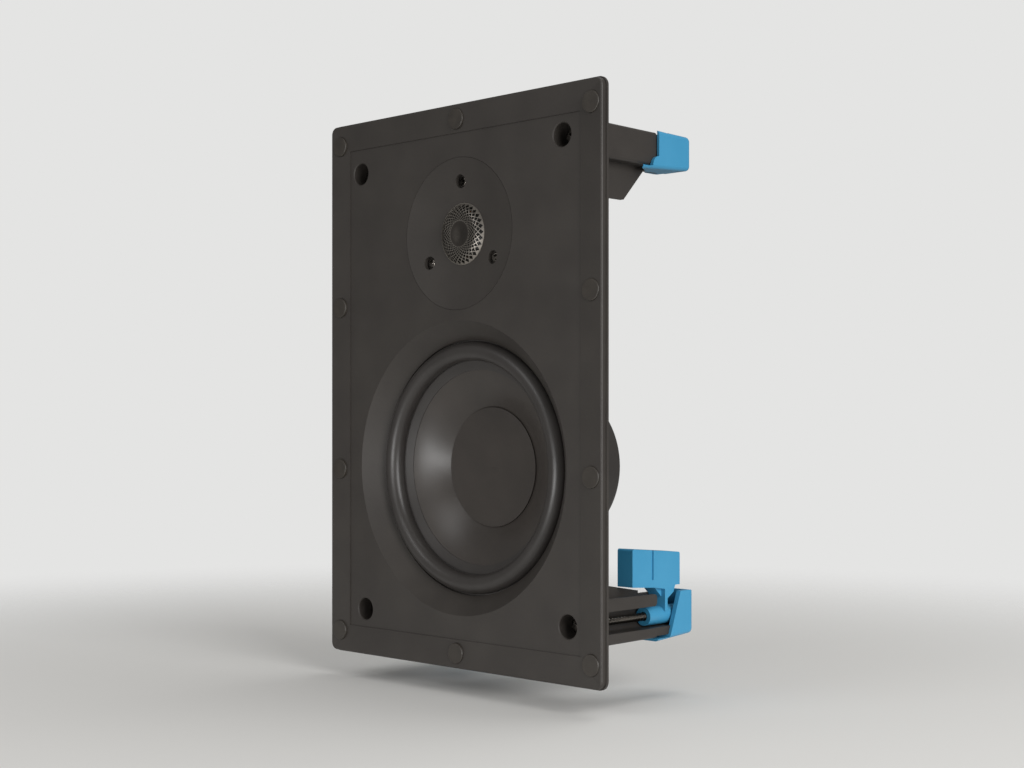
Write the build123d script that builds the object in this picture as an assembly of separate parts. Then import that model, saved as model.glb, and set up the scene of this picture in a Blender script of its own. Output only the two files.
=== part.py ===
# In-wall loudspeaker with a woofer, a tweeter, a crossover and four swing-out clamps.
# Lengths are in millimetres.
# The origin is the centre of the flange's rear face, which lies on the wall.
# The front faces -Y, +X is to the right as seen from the front, and +Z is up.
from build123d import *
import math
import os

# Flange and panel of the front baffle
flange_width = 214.0
flange_height = 310.0
flange_corner = 4.3
flange_depth = 4.5
lip_depth = 1.5
lip_overhang = 0.7
front_edge_round = 0.9
rim_width = 1.2
border_width = 15.5
border_slope = 1.2
border_step = 0.6
panel_thickness = 3.0
skirt_inset = 14.0
skirt_wall = 2.5
skirt_depth = 12.0
rib_wall = 2.0
rib_depth = 6.0

# Discs that hold the grille
disc_radius = 5.75
disc_thickness = 3.0
disc_proud = 1.0
disc_edge_round = 0.5
disc_side_inset = 7.7
disc_corner_inset = 12.0
disc_middle_z = 47.6
disc_end_inset = 8.0

# Woofer opening and seat in the baffle
woofer_z = -45.1
funnel_radius = 81.3
opening_radius = 71.0
funnel_depth = 10.0
opening_land = 1.5
seat_land = 4.2
seat_wall = 2.8
seat_radius = 84.0
funnel_wall = 3.0
woofer_screw_circle = 78.2
woofer_screw_count = 6
woofer_screw_bite = 4.0
woofer_boss_radius = 3.2

# Tweeter recess in the baffle
tweeter_z = 84.0
tweeter_plate_radius = 42.0
tweeter_recess_depth = 6.3
tweeter_floor = 2.8
tweeter_motor_hole = 22.0
tweeter_screw_circle = 29.0
tweeter_boss_radius = 3.6
tweeter_boss_length = 5.6
tweeter_head_radius = 2.8
tweeter_head_height = 1.6
tweeter_head_sink = 1.2
tweeter_well_radius = 3.75

# Clamp screws' distances in from the flange, alternately nearer its side and nearer its end
clamp_side_near = 25.0
clamp_side_far = 29.0
clamp_end_near = 26.0
clamp_end_far = 29.8

# Clamp tower, in its own frame with the screw on the axis
tower_inner_side = 10.8
tower_slot_side = 8.2
tower_stop_side = 11.6
tower_park_side = 13.2
tower_draft = 0.5
tower_length = 86.0
tower_end_step = 0.9
finger_length = 60.5
finger_tip_round = 2.2
tower_edge_round = 1.5
channel_radius = 5.9
bearing_y = 8.0
bearing_wall = 3.0
access_radius = 6.25
access_chamfer = 0.5
gusset_reach = 18.8
gusset_offset = 2.0
gusset_wall = 2.5
gusset_low_length = 42.5
park_rib_wall = 2.5
park_rib_reach = 10.8
park_rib_end = 13.6
tower_base_inner = 17.0
tower_base_park = 19.0

# Clamp screw and its threaded bush
screw_radius = 2.25
screw_head_radius = 4.6
screw_head_height = 3.5
screw_tip_depth = 2.0
screw_head_round = 0.9
screw_recess_depth = 2.1
screw_recess_reach = 2.5
screw_recess_half = 0.55
bush_radius = 3.8
bush_length = 16.0
retainer_radius = 4.4
retainer_thickness = 1.0

# Clamp arm, parked along the tower's parking side
hub_radius = 5.0
hub_front_y = 58.0
hub_front_wall = 2.0
arm_half_width = 5.25
arm_web_front_y = 63.8
arm_web_slope = 0.9
arm_web_side = 2.6
arm_riser_front_y = 70.2
arm_rear_y = 83.0
foot_front_y = 42.8
foot_inner = 17.1
foot_inner_bend = 15.9
foot_inner_rear = 14.5
foot_outer = 37.6
foot_outer_rear = 34.0
foot_round = 1.2
foot_groove_inset = 3.0
foot_groove = 0.9
foot_groove_y = 59.5

# Tower cap
cap_wall = 1.3
cap_end_wall = 5.7
cap_inner_side = 12.2
cap_stop_side = 13.1
cap_slot_side = 8.7
cap_park_side = 13.0
cap_lean = 4.3
cap_edge_top_y = 79.5
cap_edge_low_y = 70.5
cap_tail_y = 46.5
cap_tail_width = 1.3
cap_rim_turn = 5.5
cap_wrap_low = -12.9
cap_wrap_high = 5.0
cap_rear_round = 4.0
cap_long_round = 2.2

# Woofer chassis, suspension and motor
gasket_thickness = 0.8
surround_thickness = 0.6
chassis_radius = 83.0
chassis_flange = 2.5
chassis_throat = 70.5
chassis_wall = 2.5
ledge_y = 40.5
ledge_radius = 53.0
ledge_bore = 47.0
motor_seat_y = 50.5
motor_seat_bore = 22.5
spoke_width = 12.0
basket_start = 0.4
basket_drop = 5.0
window_rim = 2.5
window_foot = 2.0
spider_thickness = 0.6
spider_waves = 5
spider_wave_depth = 1.6
spider_collar = 3.0
spider_edge = 2.0
tag_strip_half = 10.0
tag_strip_width = 7.0
tag_strip_thickness = 1.8
tag_x = 5.0
tag_half_width = 2.4
tag_length = 9.0
tag_thickness = 0.8
tag_inset = 3.0
tag_edge = 1.0
cone_edge_radius = 60.3
cone_edge_y = 12.4
cone_land_radius = 54.5
cone_land_y = 14.1
cone_neck_y = 37.0
cone_thickness = 0.8
roll_outer_radius = 70.2
roll_crest_radius = 65.2
roll_crest_y = 3.4
roll_inner_radius = 60.2
dust_cap_radius = 33.6
dust_cap_rim_y = 24.1
dust_cap_dish = 1.6
dust_cap_thickness = 0.7
former_radius = 18.9
former_wall = 0.4
former_front_y = 34.0
winding_thickness = 0.7
winding_front_y = 50.0
winding_length = 12.0
magnetic_gap = 0.6
top_plate_radius = 42.8
top_plate_thickness = 6.0
ferrite_radius = 42.5
ferrite_bore = 24.5
ferrite_thickness = 20.0
yoke_radius = 42.0
yoke_thickness = 7.0
pole_clearance = 0.5
pole_vent_radius = 6.0
boot_radius = 44.5
boot_wall = 1.5
boot_end_wall = 2.0
boot_round = 5.0

# Tweeter
tweeter_seam = 0.2
waveguide_depth = 3.8
waveguide_sag = 0.25
lens_radius = 17.2
lens_thickness = 0.8
lens_rise = 2.7
lens_ridge_radius = 11.6
lens_disc_radius = 7.2
lens_dimple = 1.1
lens_first_row = 8.6
lens_last_row = 16.2
lens_rows = 5
lens_holes = 30
lens_web = 0.55
lens_rim = 0.8
lens_ridge_sink = 0.3
lens_shoulder_radius = 14.4
lens_shoulder_rise = 1.9
faceplate_web = 2.2
faceplate_wall = 3.4
lens_ledge = 1.5
diaphragm_y = 6.6
dome_radius = 12.4
dome_height = 4.0
dome_thickness = 0.3
tweeter_roll_height = 1.3
tweeter_roll_outer = 15.6
tweeter_coil_wall = 0.5
tweeter_coil_length = 6.0
tweeter_yoke_radius = 19.5
tweeter_yoke_bore = 13.6
tweeter_yoke_length = 17.4
tweeter_yoke_floor = 4.0
tweeter_pole_radius = 11.7
tweeter_pole_thickness = 3.5
tweeter_pole_drop = 2.4
tweeter_magnet_radius = 11.2

# Crossover and terminals
board_side_inset = 19.0
board_width = 42.0
board_bottom = 26.0
board_top = 94.0
board_thickness = 1.6
board_height = 6.0
board_screw_inset = 3.5
standoff_radius = 3.0
terminal_side_inset = 25.0
terminal_width = 34.0
terminal_bottom = 32.0
terminal_top = 54.0
terminal_depth = 16.0
terminal_flange = 6.0
terminal_flange_thickness = 2.5
button_size = 9.0
button_height = 5.0
button_travel = 3.0
button_z = 39.5
wire_hole_radius = 2.0
wire_hole_depth = 10.0
wire_hole_z = 49.0
button_left_inset = 10.0
button_right_inset = 9.0
button_sunk = 4.0
terminal_foot_height = 6.0
terminal_foot_inset = 2.0
terminal_foot_z = 2.5
terminal_chamfer = 1.0
button_round = 0.8
woofer_coil_inset = 15.5
woofer_coil_z = 45.0
woofer_coil_radius = 14.5
woofer_coil_bore = 6.5
woofer_coil_height = 14.0
tweeter_coil_inset = 13.0
tweeter_coil_z = 75.0
tweeter_winding_radius = 10.8
tweeter_winding_bore = 5.0
tweeter_winding_height = 10.0
bobbin_flange = 1.0
large_capacitor_inset = 6.2
large_capacitor_radius = 6.0
large_capacitor_ends = (51.0, 79.0)
small_capacitor_inset = 6.0
small_capacitor_radius = 4.8
small_capacitor_ends = (34.5, 48.5)
resistor_inset = 10.0
resistor_length = 22.0
resistor_chamfer = 0.8
resistor_sides = (87.0, 93.5)
resistor_height = 7.0

# Small screws
small_shank = 1.45
small_head = 3.2
small_head_height = 2.0
small_length = 8.0

# Clearances
fit_gap = 0.1
slide_gap = 0.35
thread_gap = 0.05

# Places that follow the flange's size
clamp_x_wide = flange_width / 2 - clamp_side_near
clamp_x_narrow = flange_width / 2 - clamp_side_far
clamp_z_low = flange_height / 2 - clamp_end_far
clamp_z_high = flange_height / 2 - clamp_end_near
disc_side_x = flange_width / 2 - disc_side_inset
disc_corner_z = flange_height / 2 - disc_corner_inset
disc_end_z = flange_height / 2 - disc_end_inset
board_right = flange_width / 2 - board_side_inset
board_left = board_right - board_width
terminal_left = terminal_side_inset - flange_width / 2
terminal_right = terminal_left + terminal_width

# Planes along Y that more than one piece uses
front_y = -flange_depth
step_y = front_y + border_slope
panel_y = step_y + border_step
panel_back_y = panel_y + panel_thickness
seat_y = panel_y + funnel_depth + opening_land
chassis_y = seat_y + gasket_thickness
tweeter_floor_y = panel_y + tweeter_recess_depth
board_y = panel_back_y + board_height
bearing_back_y = bearing_y + bearing_wall
cap_back_y = tower_length + cap_end_wall
tower_lean = math.tan(math.radians(tower_draft))
tower_end_loss = tower_lean * finger_length + tower_end_step
tower_end_inner = tower_inner_side - tower_end_loss
tower_end_slot = tower_slot_side - tower_end_loss
tower_end_stop = tower_stop_side - tower_end_loss
tower_end_park = cap_park_side - cap_wall
ferrite_y = motor_seat_y + top_plate_thickness
yoke_y = ferrite_y + ferrite_thickness
boot_back_y = yoke_y + yoke_thickness + boot_end_wall
gap_radius = former_radius + former_wall + winding_thickness + magnetic_gap


# Basic shapes along the Y axis

def rod(x, z, radius, y_from, y_to):
    """Round bar along Y."""
    bar = Cylinder(radius, y_to - y_from, align=(Align.CENTER, Align.CENTER, Align.MIN))
    return Pos(x, y_from, z) * Rot(-90, 0, 0) * bar


def slab(sketch, y_from, y_to):
    """Prism along Y of a sketch drawn as seen from the front, x to the right and y up."""
    return extrude(Plane.XZ.offset(-y_from) * sketch, amount=y_from - y_to)


def block(x_from, x_to, y_from, y_to, z_from, z_to):
    """Box between two corners."""
    size = (x_to - x_from, y_to - y_from, z_to - z_from)
    middle = ((x_from + x_to) / 2, (y_from + y_to) / 2, (z_from + z_to) / 2)
    return Pos(*middle) * Box(*size)


def turned(*edges):
    """Solid of revolution about Y from the edges of a closed section in radius and y."""
    return revolve(make_face(Curve() + list(edges)), Axis.Y, 360)


def turned_polygon(points):
    """Solid of revolution about Y from the corners of a closed section in radius and y."""
    return revolve(make_face(Polyline(*points, close=True)), Axis.Y, 360)


def profile_along_x(points, x_from, x_to):
    """Prism along X of a closed section in y and z."""
    face = make_face(Polyline(*points, close=True))
    return extrude(Plane.YZ.offset(x_from) * face, amount=x_to - x_from)


def profile_along_z(points, z_from, z_to):
    """Prism along Z of a closed section in x and y."""
    face = make_face(Polyline(*points, close=True))
    return extrude(Plane.XY.offset(z_from) * face, amount=z_to - z_from)


def crown(radius, rim_y, middle_y):
    """Arc of a shallow dome's section, from its rim to its middle on the axis."""
    rise = middle_y - rim_y
    sphere = (radius**2 + rise**2) / (2 * abs(rise))
    half_way = sphere - math.sqrt(sphere**2 - radius**2 / 4)
    return ThreePointArc(
        (radius, rim_y),
        (radius / 2, middle_y - math.copysign(half_way, rise)),
        (0, middle_y),
    )


def ring_places(radius, count, first_degrees):
    """Points evenly round a circle, as x and z from its centre."""
    angles = [math.radians(first_degrees + i * 360 / count) for i in range(count)]
    return [(radius * math.cos(a), radius * math.sin(a)) for a in angles]


def at_woofer(shape):
    return Pos(0, 0, woofer_z) * shape


def at_tweeter(shape):
    return Pos(0, 0, tweeter_z) * shape


# Each corner's place and its quarter turns, counted anticlockwise as seen from the front
corners = {
    "bottom_right": (clamp_x_wide, -clamp_z_low, 0),
    "top_right": (clamp_x_narrow, clamp_z_high, 1),
    "top_left": (-clamp_x_wide, clamp_z_low, 2),
    "bottom_left": (-clamp_x_narrow, -clamp_z_high, 3),
}


def at_corner(shape, corner):
    """Moves a clamp piece from its own frame, with the screw on Y, to a corner."""
    x, z, quarters = corners[corner]
    return Pos(x, 0, z) * Rot(0, -90 * quarters, 0) * shape


disc_places = [
    (side * disc_side_x, z)
    for side in (-1, 1)
    for z in (-disc_corner_z, -disc_middle_z, disc_middle_z, disc_corner_z)
] + [(0, -disc_end_z), (0, disc_end_z)]

# The border slopes, so the discs sit at its depth half-way across
disc_face_y = front_y + border_slope / 2 - disc_proud
disc_floor_y = disc_face_y + disc_thickness

woofer_screw_places = ring_places(woofer_screw_circle, woofer_screw_count, 0)
tweeter_screw_places = ring_places(tweeter_screw_circle, 3, 90)
board_screw_places = [
    (x, z)
    for x in (board_left + board_screw_inset, board_right - board_screw_inset)
    for z in (board_bottom + board_screw_inset, board_top - board_screw_inset)
]
terminal_middle_z = (terminal_bottom + terminal_top) / 2
terminal_screw_places = [
    (terminal_left - terminal_foot_inset, terminal_bottom + terminal_foot_z),
    (terminal_right + terminal_flange / 2, terminal_middle_z),
]


# Front baffle

def flange_plate():
    """Flange with a rear lip, a sloping border and a sunk panel."""
    lip_sketch = RectangleRounded(
        flange_width + 2 * lip_overhang,
        flange_height + 2 * lip_overhang,
        flange_corner + lip_overhang,
    )
    body_sketch = RectangleRounded(flange_width, flange_height, flange_corner)
    body = slab(body_sketch, front_y, -lip_depth)
    body = fillet(body.faces().sort_by(Axis.Y)[0].edges(), front_edge_round)
    plate = body + slab(lip_sketch, -lip_depth, 0)
    wide = Rectangle(flange_width - 2 * rim_width, flange_height - 2 * rim_width)
    narrow = Rectangle(flange_width - 2 * border_width, flange_height - 2 * border_width)
    slope = loft([Plane.XZ.offset(-front_y) * wide, Plane.XZ.offset(-step_y) * narrow])
    plate = plate - slope - slab(narrow, step_y - border_step, panel_y)
    inside = Rectangle(flange_width - 2 * skirt_inset, flange_height - 2 * skirt_inset)
    hollow = Rectangle(
        flange_width - 2 * skirt_inset - 2 * skirt_wall,
        flange_height - 2 * skirt_inset - 2 * skirt_wall,
    )
    plate = plate + slab(inside, panel_y + panel_thickness / 2, panel_back_y)
    return plate + slab(inside - hollow, -lip_depth, skirt_depth)


def woofer_seat():
    """Funnel round the woofer, with a groove behind it and a wall round its seat."""
    slope = funnel_depth / (funnel_radius - opening_radius)
    shift_r = funnel_wall * math.sin(math.atan(slope))
    shift_y = funnel_wall * math.cos(math.atan(slope))
    groove_inner = opening_radius + seat_land
    groove_outer = seat_radius - seat_wall

    def back_of_funnel(radius):
        return panel_y + shift_y + slope * (funnel_radius + shift_r - radius)

    return turned_polygon(
        [
            (funnel_radius, panel_y),
            (opening_radius, panel_y + funnel_depth),
            (opening_radius, seat_y),
            (groove_inner, seat_y),
            (groove_inner, back_of_funnel(groove_inner)),
            (groove_outer, back_of_funnel(groove_outer)),
            (groove_outer, seat_y),
            (seat_radius, seat_y),
            (seat_radius, panel_y),
        ]
    )


def tweeter_cup():
    """Sunk seat for the tweeter's faceplate."""
    recess = tweeter_plate_radius + tweeter_seam / 2
    outside = recess + tweeter_floor
    back = tweeter_floor_y + tweeter_floor
    return turned_polygon(
        [
            (recess, panel_y),
            (recess, tweeter_floor_y),
            (tweeter_motor_hole, tweeter_floor_y),
            (tweeter_motor_hole, back),
            (outside, back),
            (outside, panel_y),
        ]
    )


def tower():
    """Clamp tower: two walls in an L, and a finger between its two slots."""
    inset = tower_lean * finger_length
    plan = [
        (-tower_inner_side, 0),
        (tower_slot_side, 0),
        (tower_slot_side - inset, finger_length),
        (inset - tower_inner_side, finger_length),
    ]
    side = [
        (0, -tower_stop_side),
        (0, tower_park_side),
        (finger_length, tower_park_side - inset),
        (finger_length, inset - tower_stop_side),
    ]
    post = profile_along_z(plan, -tower_stop_side, tower_park_side)
    post = post & profile_along_x(side, -tower_inner_side, tower_slot_side)
    long_edges = [
        e for e in post.edges() if e.length > finger_length - fit_gap and e.center().Z < 0
    ]
    post = fillet(long_edges, tower_edge_round)
    post += block(
        -tower_end_inner, tower_end_slot, finger_length, tower_length,
        -tower_end_stop, tower_end_park,
    )
    rib = [
        (panel_back_y, 0),
        (panel_back_y, tower_park_side + park_rib_reach),
        (finger_length, park_rib_end),
        (finger_length, 0),
    ]
    post += profile_along_x(rib, -channel_radius - park_rib_wall, -channel_radius)
    finger_left = arm_half_width + slide_gap
    finger_bottom = channel_radius + slide_gap
    far = tower_length
    channel = rod(0, 0, channel_radius, bearing_back_y, far)
    slot = block(0, 2 * tower_slot_side, bearing_back_y, far, -finger_left, finger_bottom)
    park = block(
        -channel_radius, finger_left, bearing_back_y, far, 0, 2 * tower_park_side
    )
    quadrant = block(
        -channel_radius, 2 * tower_slot_side, finger_length, far, 0, 2 * tower_park_side
    )
    post = post - channel - slot - park - quadrant
    tip = post.edges().filter_by(Axis.X).filter_by(
        lambda e: e.center().X > finger_left and abs(e.center().Y - finger_length) < fit_gap
    )
    post = fillet(tip, finger_tip_round)
    low_end = -tower_inner_side - gusset_reach
    gusset = [
        (1 - tower_inner_side, panel_back_y),
        (low_end, panel_back_y),
        (low_end, gusset_low_length),
        (-tower_inner_side, finger_length),
        (1 - tower_inner_side, finger_length),
    ]
    middle = -gusset_offset
    return post + profile_along_z(gusset, middle - gusset_wall / 2, middle + gusset_wall / 2)


def access_bore():
    """Driver's way to the clamp screw: a wide bore, and the shank's hole below it."""
    bore = rod(0, 0, access_radius, panel_y - 1, bearing_y)
    shank = rod(0, 0, screw_radius + slide_gap, bearing_y - 1, bearing_back_y + 1)
    mouth = turned_polygon(
        [
            (0, panel_y - access_chamfer),
            (access_radius + 2 * access_chamfer, panel_y - access_chamfer),
            (access_radius, panel_y + access_chamfer),
            (0, panel_y + access_chamfer),
        ]
    )
    return bore + shank + mouth


def tower_base(y_from, y_to):
    """Piece of the panel round the access bore, which the tower stands on."""
    return block(
        -tower_base_inner, tower_slot_side, y_from, y_to, -tower_stop_side, tower_base_park
    )


def clamp_tower():
    """Corner of the baffle's moulding: the tower with its piece of the panel."""
    return tower() + tower_base(panel_y, panel_back_y) - access_bore()


def rear_ribs():
    """Ribs on the panel's back, from the woofer seat and the tweeter cup to the skirt."""
    skirt_x = flange_width / 2 - skirt_inset - skirt_wall / 2
    skirt_z = flange_height / 2 - skirt_inset - skirt_wall / 2
    half = rib_wall / 2
    back = panel_back_y + rib_depth
    inside_y = panel_back_y - 1
    cup_edge = tweeter_plate_radius + tweeter_floor / 2
    ribs = block(-half, half, inside_y, back, tweeter_z + cup_edge, skirt_z)
    ribs += block(
        -half, half, inside_y, back, woofer_z + seat_radius - half, tweeter_z - cup_edge
    )
    ribs += block(-half, half, inside_y, back, -skirt_z, woofer_z - seat_radius + half)
    for side in (-1, 1):
        outer = side * skirt_x
        inner = side * (seat_radius - half)
        ribs += block(
            min(outer, inner), max(outer, inner), inside_y, back,
            woofer_z - half, woofer_z + half,
        )
    return ribs


def front_baffle():
    baffle = flange_plate()
    baffle = baffle - at_woofer(rod(0, 0, seat_radius - seat_wall / 2, front_y, skirt_depth))
    baffle = baffle - at_tweeter(
        rod(0, 0, tweeter_plate_radius + tweeter_floor / 2, front_y, skirt_depth)
    )
    baffle = baffle + at_woofer(woofer_seat()) + at_tweeter(tweeter_cup()) + rear_ribs()
    for x, z in woofer_screw_places:
        boss_front = seat_y - woofer_screw_bite - 5 * fit_gap
        hole_front = seat_y - woofer_screw_bite - 3 * fit_gap
        baffle += at_woofer(rod(x, z, woofer_boss_radius, boss_front, seat_y))
        baffle -= at_woofer(rod(x, z, small_shank + thread_gap, hole_front, seat_y))
    for x, z in tweeter_screw_places:
        boss_end = tweeter_floor_y + tweeter_floor + tweeter_boss_length
        baffle += at_tweeter(rod(x, z, tweeter_boss_radius, tweeter_floor_y + 1, boss_end))
        baffle -= at_tweeter(
            rod(x, z, small_shank + thread_gap, tweeter_floor_y - 1, boss_end)
        )
    for corner in corners:
        baffle -= at_corner(tower_base(panel_y - 1, panel_back_y + 1), corner)
    for x, z in disc_places:
        baffle -= rod(x, z, disc_radius + fit_gap, front_y - 1, disc_floor_y)
    for x, z in board_screw_places:
        baffle += rod(x, z, standoff_radius, panel_back_y - 1, board_y)
        baffle -= rod(x, z, small_shank + thread_gap, panel_back_y, board_y)
    for x, z in terminal_screw_places:
        foot_y = panel_back_y + terminal_foot_height
        baffle += rod(x, z, standoff_radius, panel_back_y - 1, foot_y)
        baffle -= rod(x, z, small_shank + thread_gap, panel_back_y, foot_y)
    return baffle


def grille_disc(x, z):
    """Plastic-coated steel disc pressed into the border."""
    disc = rod(x, z, disc_radius, disc_face_y, disc_floor_y)
    return fillet(disc.edges().group_by(Axis.Y)[0], disc_edge_round)


# Clamps

def clamp_screw():
    """Long screw with a flat round head and a cross recess."""
    head = rod(0, 0, screw_head_radius, bearing_y - screw_head_height, bearing_y)
    head = fillet(head.edges().group_by(Axis.Y)[0], screw_head_round)
    reach = screw_recess_reach
    half = screw_recess_half
    top = bearing_y - screw_head_height
    cross = block(-reach, reach, top, top + screw_recess_depth, -half, half)
    cross += block(-half, half, top, top + screw_recess_depth, -reach, reach)
    shank = rod(0, 0, screw_radius, bearing_y, tower_length + screw_tip_depth)
    return head - cross + shank


def clamp_bush():
    """Threaded bush in the arm's hub, which the screw draws forward."""
    front = hub_front_y + hub_front_wall + fit_gap
    bush = rod(0, 0, bush_radius, front, front + bush_length)
    return bush - rod(0, 0, screw_radius + thread_gap, front - 1, front + bush_length + 1)


def screw_retainer():
    """Push-on ring behind the bearing wall, which keeps the screw in its tower."""
    ring = rod(0, 0, retainer_radius, bearing_back_y, bearing_back_y + retainer_thickness)
    bore = rod(0, 0, screw_radius + thread_gap, bearing_back_y - 1, bearing_back_y + 2)
    return ring - bore


def cap_edge_y(height):
    """Front edge of the cap's slotted side, which slants forward towards the stop wall."""
    slant = (cap_edge_top_y - cap_edge_low_y) / (cap_park_side + tower_stop_side)
    return cap_edge_low_y + slant * (height + tower_stop_side)


def clamp_arm():
    """Dog-leg arm: a hub, a riser that clears the cap as it swings, and a gripping foot."""
    clear = slide_gap + fit_gap
    root_rear_y = cap_edge_y(-arm_half_width) - clear
    corner_radius = math.hypot(cap_slot_side, cap_park_side)
    knee = cap_slot_side + clear
    mid = (knee + corner_radius) / 2
    mid_height = math.sqrt(mid**2 - cap_slot_side**2)
    outline = [
        (arm_riser_front_y, hub_radius / 2),
        (root_rear_y, hub_radius / 2),
        (root_rear_y, knee),
        (cap_edge_y(mid_height) - clear, mid),
        (cap_edge_y(cap_park_side) - clear, corner_radius + clear),
        (arm_rear_y, corner_radius + clear + fit_gap),
        (arm_rear_y, foot_outer_rear),
        (foot_front_y, foot_outer),
        (foot_front_y, foot_inner),
        (finger_length, foot_inner_bend),
        (arm_riser_front_y, foot_inner_rear),
    ]
    arm = profile_along_x(outline, -arm_half_width, arm_half_width)
    far_corners = arm.edges().filter_by(Axis.X).filter_by(
        lambda e: e.center().Z > (foot_inner + foot_outer) / 2
    )
    arm = fillet(far_corners, foot_round)
    web_depth = arm_riser_front_y - arm_web_front_y
    web = profile_along_x(
        [
            (arm_web_front_y, foot_inner_bend),
            (arm_riser_front_y + 1, foot_inner_bend),
            (arm_riser_front_y + 1, foot_inner_bend - arm_web_slope * (web_depth + 1)),
        ],
        -arm_half_width, arm_web_side,
    )
    hub = rod(0, 0, hub_radius, hub_front_y, arm_rear_y)
    bore_front = hub_front_y + hub_front_wall
    hub_bore = rod(0, 0, bush_radius + thread_gap, bore_front, arm_rear_y)
    shank_bore = rod(0, 0, screw_radius + slide_gap, hub_front_y - 1, arm_rear_y)
    groove = block(
        arm_half_width - foot_groove, arm_half_width + 1,
        foot_groove_y - foot_groove, foot_groove_y + foot_groove,
        foot_inner + foot_groove_inset, foot_outer + 1,
    )
    return arm + web + hub - hub_bore - shank_bore - groove


def cap_shell():
    """Outside of the cap: its inner side and its stop side lean in towards the back."""
    lean = math.tan(math.radians(cap_lean))
    before = lean * (finger_length - cap_tail_y)
    behind = lean * (cap_back_y - finger_length)
    plan = [
        (-cap_inner_side - before, cap_tail_y),
        (cap_slot_side, cap_tail_y),
        (cap_slot_side, cap_back_y),
        (behind - cap_inner_side, cap_back_y),
    ]
    side = [
        (cap_tail_y, -cap_stop_side - before),
        (cap_tail_y, cap_park_side),
        (cap_back_y, cap_park_side),
        (cap_back_y, behind - cap_stop_side),
    ]
    shell = profile_along_z(plan, -2 * cap_stop_side, cap_park_side)
    shell = shell & profile_along_x(side, -2 * cap_inner_side, cap_slot_side)
    long_edges = [
        e
        for e in shell.edges()
        if e.length > cap_back_y - cap_tail_y - fit_gap and e.center().Z < 0
    ]
    shell = fillet(long_edges, cap_long_round)
    return fillet(shell.faces().sort_by(Axis.Y)[-1].edges(), cap_rear_round)


def tower_cap():
    """Shoe over the tower's end, which also holds the screw's tip."""
    shell = cap_shell()
    slot_left = channel_radius
    far_left = 2 * cap_inner_side
    far_up = 2 * cap_park_side
    before = tower_lean * cap_tail_y
    tower_seat = block(
        before - tower_inner_side - fit_gap, far_left, 0, finger_length + fit_gap,
        before - tower_stop_side - fit_gap, far_up,
    )
    end_seat = block(
        -tower_end_inner - fit_gap, slot_left, 0, tower_length,
        -tower_end_stop - fit_gap, tower_end_park + fit_gap,
    )
    stop_seat = block(
        -tower_end_inner - fit_gap, tower_end_slot + fit_gap, 0, tower_length,
        -tower_end_stop - fit_gap, fit_gap - arm_half_width - slide_gap,
    )
    swing_room = block(-channel_radius, slot_left, 0, tower_length, 0, far_up)
    shell = shell - tower_seat - end_seat - stop_seat - swing_room
    slot_side = [
        (0, far_up),
        (cap_edge_y(far_up), far_up),
        (cap_edge_low_y, -tower_stop_side),
        (finger_length, -tower_stop_side),
        (0, -tower_stop_side),
    ]
    shell = shell - profile_along_x(slot_side, -tower_end_inner - fit_gap, far_left)
    turn_x = cap_tail_width - cap_inner_side
    rim_curve = make_face(
        Curve()
        + [
            Line((far_left, 0), (far_left, finger_length)),
            Line((far_left, finger_length), (turn_x + cap_rim_turn, finger_length)),
            RadiusArc(
                (turn_x + cap_rim_turn, finger_length),
                (turn_x, finger_length - cap_rim_turn),
                cap_rim_turn,
            ),
            Line((turn_x, finger_length - cap_rim_turn), (turn_x - cap_tail_width, cap_tail_y)),
            Line((turn_x - cap_tail_width, cap_tail_y), (turn_x - cap_tail_width, 0)),
            Line((turn_x - cap_tail_width, 0), (far_left, 0)),
        ]
    )
    low_cut = Plane.XY.offset(-2 * cap_stop_side) * rim_curve
    shell = shell - extrude(low_cut, 2 * cap_stop_side - tower_stop_side + tower_end_loss)
    gusset_side = -gusset_offset - gusset_wall / 2 - fit_gap
    gusset_back = -gusset_offset + gusset_wall / 2 + fit_gap
    wrap = [
        (0, far_up),
        (cap_back_y + 1, far_up),
        (cap_back_y + 1, cap_wrap_high),
        (tower_length, cap_wrap_high),
        (finger_length + gusset_wall, gusset_back),
        (finger_length + 2 * fit_gap, gusset_side),
        (cap_tail_y, cap_wrap_low),
        (0, cap_wrap_low),
    ]
    shell = shell - profile_along_x(wrap, -far_left, -tower_end_inner - fit_gap)
    tip_hole = rod(
        0, 0, screw_radius + thread_gap, tower_length - 1, tower_length + screw_tip_depth + fit_gap
    )
    return shell - tip_hole


# Woofer

def woofer_gasket():
    ring = turned_polygon(
        [
            (opening_radius + seat_land + slide_gap, seat_y),
            (chassis_radius, seat_y),
            (chassis_radius, chassis_y),
            (opening_radius + seat_land + slide_gap, chassis_y),
        ]
    )
    for x, z in woofer_screw_places:
        ring -= rod(x, z, small_shank + slide_gap, seat_y - 1, chassis_y + 1)
    return ring


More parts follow.
